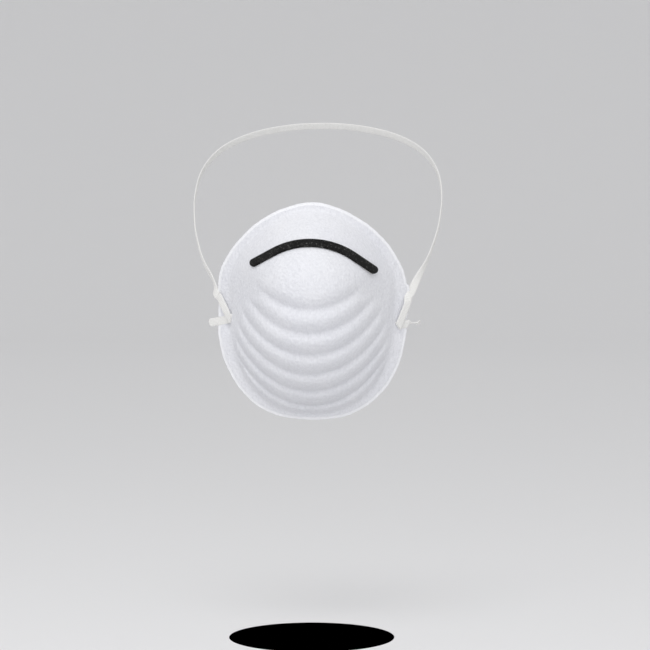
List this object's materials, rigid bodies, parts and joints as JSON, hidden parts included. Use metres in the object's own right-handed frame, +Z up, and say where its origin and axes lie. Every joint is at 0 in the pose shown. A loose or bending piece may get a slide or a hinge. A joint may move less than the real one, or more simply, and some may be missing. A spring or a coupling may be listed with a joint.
{
  "type": "disposable dust mask",
  "caption": "Moulded cup dust mask with smile-shaped ribs, a bendable nose strip and a flat elastic headband worn as one loop.",
  "frame": {"origin": "middle of the sealing rim, on the plane of symmetry, level with the wearer's mouth and nose", "axes": "+Z up towards the nose, -Y the way the mask faces, +Y towards the wearer, +X to the right seen from the front"},
  "size_m": [0.1614, 0.2169, 0.1894],
  "materials": {
    "shell_felt": "matte",
    "filter_web": "matte",
    "lining": "matte",
    "nose_strip": "satin",
    "adhesive": "satin",
    "elastic": "matte"
  },
  "bodies": {
    "shell": {"outer_shell": "shell_felt", "filter_web": "filter_web", "inner_lining": "lining", "nose_clip": "nose_strip", "nose_clip_adhesive": "adhesive", "headband_end_left": "elastic", "headband_end_right": "elastic"},
    "headband_arms": {"headband_arm_left": "elastic", "headband_arm_right": "elastic"},
    "headband_back": {"headband_back": "elastic"}
  },
  "joints": [
    {"name": "headband_swing", "type": "hinge", "parent": "shell", "child": "headband_arms", "pos_m": [0, 0.0175, 0.009], "axis": [1, 0, 0], "range_deg": [-75, 130]},
    {"name": "headband_stretch", "type": "slide", "parent": "headband_arms", "child": "headband_back", "axis": [0, 0.809, 0.5878], "range_m": [0, 0.05], "stiffness_N_per_m": 40}
  ]
}
